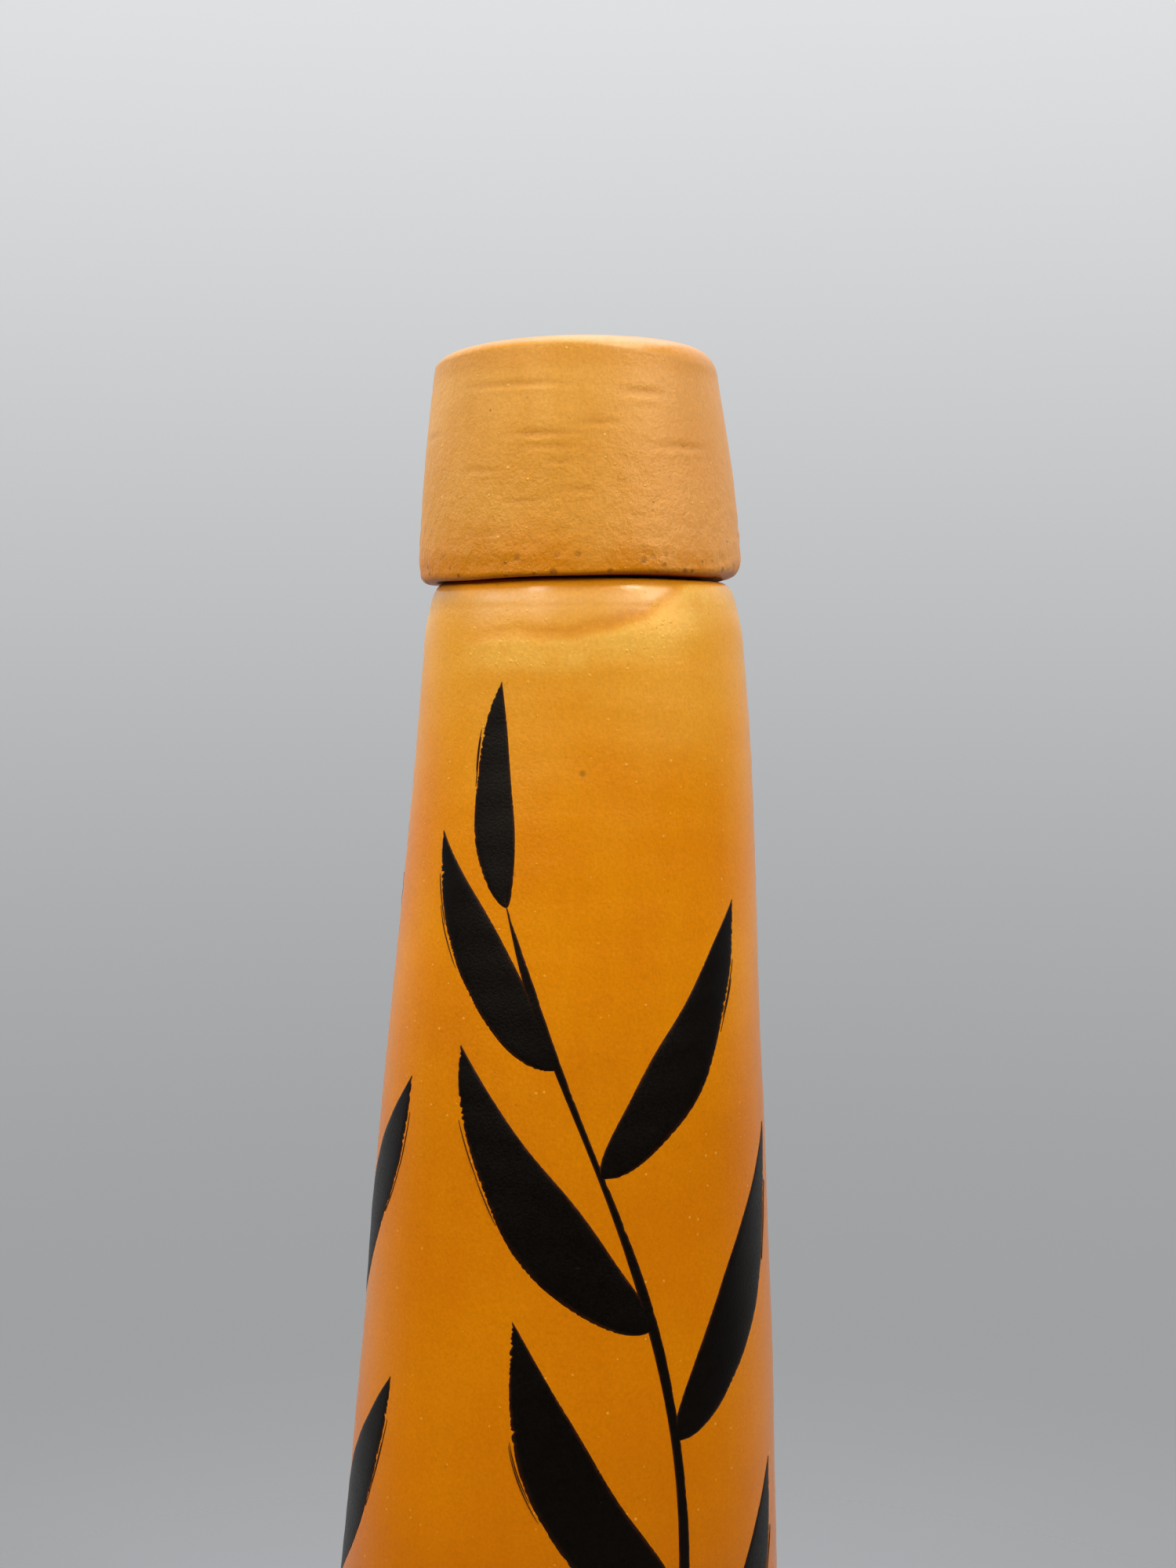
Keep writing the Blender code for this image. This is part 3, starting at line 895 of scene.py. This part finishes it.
angle = round_grid(CAP_COLUMNS)
side = np.sin(angle)
cap_r, cap_z, outside = cap_rows(angle)
cap_share = (cap_z - CAP_RIM) / (CAP_TOP - CAP_RIM)
below_top = CAP_TOP - cap_z
rim_line = RIM_LIFT * smooth_step(-0.8, 0.7, side) - RIM_SAG
rim_line = rim_line + RIM_WAVES * hand_waves(angle, 0, 23, 9, 1) + RIM_KICK * smooth_step(0.8, 1.0, side)
overhang = smooth_step(SEAT_EDGE_RADIUS + 0.0015, SEAT_EDGE_RADIUS + 0.0042, cap_r)
lifted = rim_line * overhang * smooth_step(0.6, 0.1, cap_share)
lifted = lifted + CAP_TILT * side * cap_r / CAP_RIM_RADIUS * smooth_step(0.85, 0.95, cap_share)
fade = outside * smooth_step(0.004, 0.012, cap_r) * smooth_step(-0.02, 0.06, cap_share)
skin = cap_r + fade * cap_relief(angle, cap_z)
# Painted highlight: a pale band a little below the top edge, widest at the front right, where the light
# catches the rounded edge.
edge_highlight = sum(hump(wrapped(angle - centre), 0, reach) for centre, reach in EDGE_HIGHLIGHTS)
edge_depth = 0.0020 + 0.0012 * hump(wrapped(angle), 0.38, 0.3)
edge_highlight = edge_highlight * smooth_step(edge_depth + 0.0006, edge_depth - 0.0004, below_top)
off_sides = smooth_step(1.0, 0.7, np.abs(side))
cap = closed_skin("glazed_cap", (
    turned(NECK_AXIS - CAP_ASIDE - CAP_SKEW * cap_share, angle, skin, cap_z + lifted),
    {
        "glaze_cover": outside,
        "wiped_top": smooth_step(0.00036, 0.0001, below_top),
        "top_edge_highlight": edge_highlight * smooth_step(0.0006, 0.0023, below_top),
        # Painted shadow: the rim's lower edge and the underside beside it darken, partly the rim's own
        # burned edge and partly shadow for the gap under it.
        "burn_and_gap_shade": off_sides * smooth_step(0.0005, 0.0, cap_z - CAP_RIM),
        "groove": outside * np.clip(-tool_marks(angle, cap_z) / GROOVE_DEPTH, 0, 1),
    },
))


def make_cap_finish():
    """Thin tan glaze: more pink towards the right as painted sheen, ochre where it pooled near the rim,
    darker in the grooves and under the top edge, with a painted highlight along that edge, which is
    glossier there, dull on top, and broken by pits, pinholes and blisters. The rim's lower edge is burned
    darker and painted darker still as shadow for the gap below it, and the clay is bare in the socket."""
    material, shader, where = new_material(
        "tan_glaze", Specular_IOR_Level=0.27, Specular_Tint=(1.0, 0.8, 0.5, 1), Coat_Roughness=0.30,
    )
    glaze = use_group(
        glaze_group, Vector=where, Pools=80.0,
        Thin=(0.705, 0.320, 0.046, 1), Thick=(0.615, 0.244, 0.014, 1),
    )
    cover = ramp(mask(where, "glaze_cover"), 0.35, 0.65)
    dull = mask(where, "wiped_top")
    # painted highlight along the top edge, which also marks where that edge is glossier
    wiped = mask(where, "top_edge_highlight")
    level = wandering_level(where, 130.0, 0.012)
    edge = wandering_level(where, 500.0, 0.002)
    across = add("SeparateXYZ", {0: where}).outputs[0]
    deeper = ramp(level, CAP_RIM + 0.028, CAP_RIM + 0.014, 0.0, 0.45)
    # Painted sheen: a more pink tint that rises towards the right side of the cap.
    right_sheen = ramp(across, NECK_AXIS - 0.006, NECK_AXIS + 0.020, 0.0, 0.7)
    pooled = calc("MULTIPLY_ADD", right_sheen, 0.005, level)
    pooled = ramp(pooled, CAP_RIM + 0.010, CAP_RIM + 0.0005)
    under_edge = ramp(edge, CAP_TOP - 0.0075, CAP_TOP - 0.0050)
    under_edge = times(under_edge, ramp(edge, CAP_TOP - 0.0022, CAP_TOP - 0.0036), 0.5)
    patchy = ramp(noise(where, 240.0, 4.0, 0.6), 0.3, 0.65, 0.35, 0.6)
    pinholes = times(specks(where, 260.0, 0.16, 0.11), 0.65)
    pits = times(specks(where, 600.0, 0.3, 0.22), 0.25)
    near_rim = ramp(edge, CAP_RIM + 0.0045, CAP_RIM + 0.0015)
    blisters = times(specks(where, 520.0, 1.0, 0.46), near_rim, 0.65)
    dark = calc("MAXIMUM", calc("MAXIMUM", pinholes, pits), blisters)
    pale = specks(where, 640.0, 0.3, 0.22)
    colour = layered(
        glaze["Color"],
        (deeper, (0.585, 0.222, 0.012)),
        # painted sheen towards the right
        (right_sheen, (0.640, 0.262, 0.054)),
        (pooled, (0.580, 0.183, 0.0004)),
        (times(mask(where, "groove"), 0.5), (0.470, 0.160, 0.006)),
        (under_edge, (0.570, 0.212, 0.012)),
        # painted highlight along the top edge
        (times(wiped, patchy), (0.87, 0.54, 0.24)),
        (dark, (0.17, 0.055, 0.006)),
        (times(pale, 0.5), (0.90, 0.52, 0.11)),
    )
    colour = grained(colour, glaze["Grain"], 0.5)
    coarse = ramp(level, CAP_RIM + 0.028, CAP_RIM + 0.010, 1.0, 1.9)
    height = calc("SUBTRACT", times(glaze["Height"], coarse), dark)
    height = calc("MULTIPLY_ADD", pale, 0.8, height)
    rough = calc("ADD", glaze["Rough"], blend(dull, 0.10, 0.40))
    gloss = times(
        cover, calc("SUBTRACT", 1.0, dull), ramp(wiped, 0.0, 0.7, 0.1, 1.0),
        ramp(edge, CAP_TOP - 0.0034, CAP_TOP - 0.0018),
    )
    # the rim's colour here is its burned edge, deepened as painted shadow for the gap
    finish = over_clay(where, cover, colour, rough, height, burnt_and_shaded=(0.43, 0.088, 0.004))
    surface(shader, *finish, depth=0.00010, Coat_Weight=gloss)
    return material


cap.data.materials.append(make_cap_finish())
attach(cap, "stopper")
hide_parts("cap")

# Plaster setting
# White plaster poured into the upturned cap round the head of the cork. It crept up the cork and the
# socket's wall as it set, and its face kept the bubbles and the drag of the spatula.

setting_low, setting_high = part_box("cork_setting")
cork_low, cork_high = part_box("cork_stopper")

SETTING_RADIUS = (setting_high.y - setting_low.y) / 2
SETTING_ROUND = 0.0027
CORK_RADIUS = (cork_high.y - cork_low.y) / 2
CORK_TAPER = 0.04
SET_GAP = 0.0003
CREEP_CORK = 0.0011
CREEP_WALL = 0.0008
DRAG_DEPTH = 0.00016
PLASTER_COLUMNS = 128


def setting_rows():
    """The plaster's profile: out from the middle of its top, down its side, in along its face to the cork,
    and up round the cork's head."""
    side_top = setting_high.z - SETTING_ROUND
    hole = CORK_RADIUS + SET_GAP / 3
    hole_top = cork_high.z + SET_GAP / 3
    face_r = np.linspace(SETTING_RADIUS, hole, 26)[1:]
    creep = CREEP_CORK * hump(face_r, hole, 0.0016) + CREEP_WALL * hump(face_r, SETTING_RADIUS, 0.0012)
    return profile(
        np.array([(0, setting_high.z)]), 6,
        arc(SETTING_RADIUS - SETTING_ROUND, side_top, SETTING_ROUND, 90, 0, 8),
        line((SETTING_RADIUS, side_top), (SETTING_RADIUS, setting_low.z - CREEP_WALL), 6),
        np.stack([face_r, setting_low.z - creep], axis=-1),
        line((hole, setting_low.z - CREEP_CORK), (hole, hole_top), 6),
        line((hole, hole_top), (0, hole_top), 3),
        np.array([(0, hole_top)]),
    )


rows = setting_rows()
angle = round_grid(PLASTER_COLUMNS)
radius = rows[:, :1]
on_face = (rows[:, 1:] < setting_low.z + 0.0001) * smooth_step(0, 0.0006, SETTING_RADIUS - radius)
dragged = DRAG_DEPTH * hand_waves(angle, radius, 31, 7, 0.006)
plaster_rows = turned(NECK_AXIS, angle, radius, rows[:, 1:] + on_face * dragged)
plaster = closed_skin("plaster_setting", (plaster_rows, {}))


def make_plaster():
    """Chalky off-white plaster, stained a little by the cork, with air bubbles."""
    material, shader, where = new_material("setting_plaster", Specular_IOR_Level=0.3)
    cloud = noise(where, 180.0, 4.0, 0.6)
    bubbles = specks(where, 420.0, 0.25, 0.28)
    colour = layered(
        (0.74, 0.71, 0.65, 1),
        (ramp(cloud, 0.35, 0.75), (0.60, 0.53, 0.43)),
        (times(bubbles, 0.6), (0.36, 0.32, 0.26)),
    )
    chalk = noise(where, 2200.0, 3.0, 0.65)
    height = calc("MULTIPLY_ADD", bubbles, -1.6, chalk)
    surface(shader, colour, ramp(chalk, 0.2, 0.8, 0.82, 0.95), height, depth=0.00012)
    return material


plaster.data.materials.append(make_plaster())
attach(plaster, "stopper")
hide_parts("cork_setting")

# Cork stopper
# A tapered plug punched from cork bark, so its pores run across it as dark slits and pits. Its head is set
# in the plaster, and its foot is stained by the liquor.

CORK_CHAMFER = 0.0006
CORK_PORES = 70
PORE_DEPTH = 0.0003  # from which a pore takes its full colour
CORK_COLUMNS = 128


def cork_radius(height):
    """The cork's radius at a height: a straight taper, cut back at both ends by a small chamfer."""
    taper = CORK_RADIUS - CORK_TAPER * (cork_high.z - height)
    ends = np.minimum(height - cork_low.z, cork_high.z - height)
    return taper - np.maximum(CORK_CHAMFER - ends, 0)


def cork_pits(angle, height):
    """Pores that open on the side: Gaussian troughs of unlike size, longer round the cork than up it."""
    draw = np.random.default_rng(17)
    total = 0
    for _ in range(CORK_PORES):
        away = wrapped(angle - draw.uniform(-np.pi, np.pi)) * CORK_RADIUS
        up = height - draw.uniform(cork_low.z, cork_high.z)
        wide = draw.uniform(0.0002, 0.0009)
        deep = draw.uniform(0.00006, 0.00045)
        total = total + deep * hump(away, 0, wide) * hump(up, 0, draw.uniform(0.0002, 0.0005))
    return total


angle = round_grid(CORK_COLUMNS)
side_z = np.linspace(cork_high.z, cork_low.z, 110)[:, None] + 0 * angle
side_r = cork_radius(side_z)
inward = np.linspace(0, 1, 9)[:-1, None]
pits = cork_pits(angle, side_z)
cork_r = np.concatenate([inward * side_r[:1], side_r - pits, side_r[-1:] * inward[::-1]])
cork_z = np.concatenate([0 * inward + side_z[:1], side_z, side_z[-1:] + 0 * inward])
no_pits = np.zeros((len(inward), CORK_COLUMNS))
cork = closed_skin("natural_cork_stopper", (
    turned(NECK_AXIS, angle, cork_r, cork_z),
    {"pore": np.concatenate([no_pits, np.clip(pits / PORE_DEPTH, 0, 1), no_pits])},
))


def make_cork():
    """Cork: mottled tan cells with brown growth bands across the grain, dark pores, and a stained foot."""
    material, shader, where = new_material("natural_cork", Specular_IOR_Level=0.25)
    cells = add("TexVoronoi", {"Vector": where, "Scale": 1500.0}).outputs["Distance"]
    cloud = noise(where, 260.0, 4.0, 0.65)
    bands = noise(stretched(where, (1, 0.12, 0.12)), 700.0, 3.0)
    flecks = specks(where, 330.0, 0.35, 0.24)
    dark = calc("MAXIMUM", mask(where, "pore"), times(flecks, 0.7))
    level = wandering_level(where, 300.0, 0.004)
    colour = layered(
        (0.56, 0.36, 0.19, 1),
        (ramp(cloud, 0.3, 0.7), (0.42, 0.24, 0.115)),
        (ramp(bands, 0.55, 0.72, 0.0, 0.6), (0.26, 0.13, 0.06)),
        (times(dark, 0.8), (0.10, 0.05, 0.025)),
        (ramp(level, cork_low.z + 0.007, cork_low.z, 0.0, 0.6), (0.20, 0.09, 0.035)),
    )
    height = calc("MULTIPLY_ADD", flecks, -1.2, calc("MULTIPLY_ADD", cells, 0.6, cloud))
    surface(shader, colour, ramp(cloud, 0.3, 0.7, 0.72, 0.9), height, depth=0.00012)
    return material


cork.data.materials.append(make_cork())
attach(cork, "stopper")
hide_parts("cork_stopper")

# Floor
# A plain pale round sheet under the bottle, whose edge melts into the room.

FLOOR_RADIUS = 0.40
FLOOR_FADE = 0.12
FLOOR_COLUMNS = 96
FLOOR_RINGS = 6

rings = FLOOR_RADIUS * np.linspace(0, 1, FLOOR_RINGS)[:, None]
floor_points = turned(0, round_grid(FLOOR_COLUMNS), rings, 0.0).reshape(-1, 3)
floor_quads = ring_quads(np.arange(len(floor_points)).reshape(FLOOR_RINGS, FLOOR_COLUMNS))
floor_mesh = bpy.data.meshes.new("pale_floor")
floor_mesh.from_pydata(floor_points.tolist(), [], floor_quads.tolist())
floor = new_object("pale_floor", floor_mesh)
floor_finish, shader, where = new_material(
    "pale_floor", Base_Color=(0.27, 0.273, 0.28, 1), Roughness=0.9, Specular_IOR_Level=0.1,
)
away = add("VectorMath", {0: where}, operation="LENGTH").outputs["Value"]
melting = ramp(away, FLOOR_RADIUS - 0.01, FLOOR_FADE)
floor_finish.node_tree.links.new(melting, shader.inputs["Alpha"])
floor.data.materials.append(floor_finish)

# Studio light
# A pale room with a bright band of windows all round, a dimmer ceiling and a dark lower part. Two soft
# boxes stand high in front, and two more show only as glints in the glaze. The camera sees the room as a
# plain grey that pales upwards.

world = bpy.data.worlds.new("pale_room")
bpy.context.scene.world = world
world.use_nodes = True
room = world.node_tree
path = room.nodes.new("ShaderNodeLightPath").outputs
facing = room.nodes.new("ShaderNodeTexCoord").outputs["Generated"]
rightward, backward, upward = add("SeparateXYZ", {0: facing}).outputs
sideways = calc("ABSOLUTE", rightward)
backdrop = ramp(upward, -0.30, 0.60, 0.36, 0.90)
ahead = times(
    ramp(backward, 0.15, -0.45), ramp(sideways, 0.10, 0.55, 0.55, 1.0),
    ramp(rightward, -0.9, -0.3, 0.85, 1.0),
)
windows = times(
    ramp(upward, 0.20, 0.30, 0.0, 4.4), ramp(upward, 0.58, 0.40),
    ramp(sideways, 0.15, 0.85, 0.90, 1.30), ramp(rightward, -0.8, 0.8, 1.19, 0.90),
    blend(path["Is Glossy Ray"], 1.0, ahead),
)
ceiling = ramp(upward, 0.40, 0.58, 0.0, blend(path["Is Glossy Ray"], 0.3, 1.3))
behind = times(
    backdrop, ramp(backward, 0.0, 0.7, 0.06, 1.0), ramp(upward, 0.15, 0.45, 1.0, 1.4),
)
room_light = calc("MAXIMUM", calc("ADD", windows, ceiling), behind)
shade = room.nodes["Background"]
shade.inputs["Color"].default_value = (0.97, 0.985, 1.0, 1)
room.links.new(blend(path["Is Camera Ray"], room_light, backdrop), shade.inputs["Strength"])


def soft_box(name, place, aim, size, power):
    """A square soft light at a place, turned towards a point. Returns its object."""
    lamp = bpy.data.lights.new(name, "AREA")
    lamp.size = size
    lamp.energy = power
    box = new_object(name, lamp)
    box.location = place
    box.rotation_euler = (Vector(aim) - Vector(place)).to_track_quat("-Z", "Y").to_euler()
    return box


soft_box("left_box", (-0.36, -0.43, 0.92), (0.0, 0.0, 0.20), 0.14, 1.2)
soft_box("right_box", (0.46, -0.41, 0.84), (0.0, 0.0, 0.20), 0.14, 2.2)
soft_box("left_glint", (-0.34, -0.44, 0.68), (0.0, 0.0, 0.24), 0.14, 0.9).visible_diffuse = False
soft_box("right_glint", (0.55, -0.295, 0.59), (0.0, 0.0, 0.24), 0.32, 1.75).visible_diffuse = False

# Camera
# Eye level a little below the cap's rim, close to the bottle, tilted slightly down.

EYE_BELOW_RIM = 0.0168
EYE_DISTANCE = 0.360
EYE_RIGHT_OF_NECK = 0.00087
TILT_DOWN = np.radians(2.77)
camera_data = bpy.data.cameras.new("camera")
camera_data.lens = 48.6
camera_data.sensor_width = 36.0
camera_data.clip_start = 0.01
camera = new_object("camera", camera_data)
camera.location = (NECK_AXIS + EYE_RIGHT_OF_NECK, -EYE_DISTANCE, CAP_RIM - EYE_BELOW_RIM)
camera.rotation_euler = (np.pi / 2 - TILT_DOWN, 0, 0)
bpy.context.scene.camera = camera
bpy.context.scene.view_settings.view_transform = "Standard"
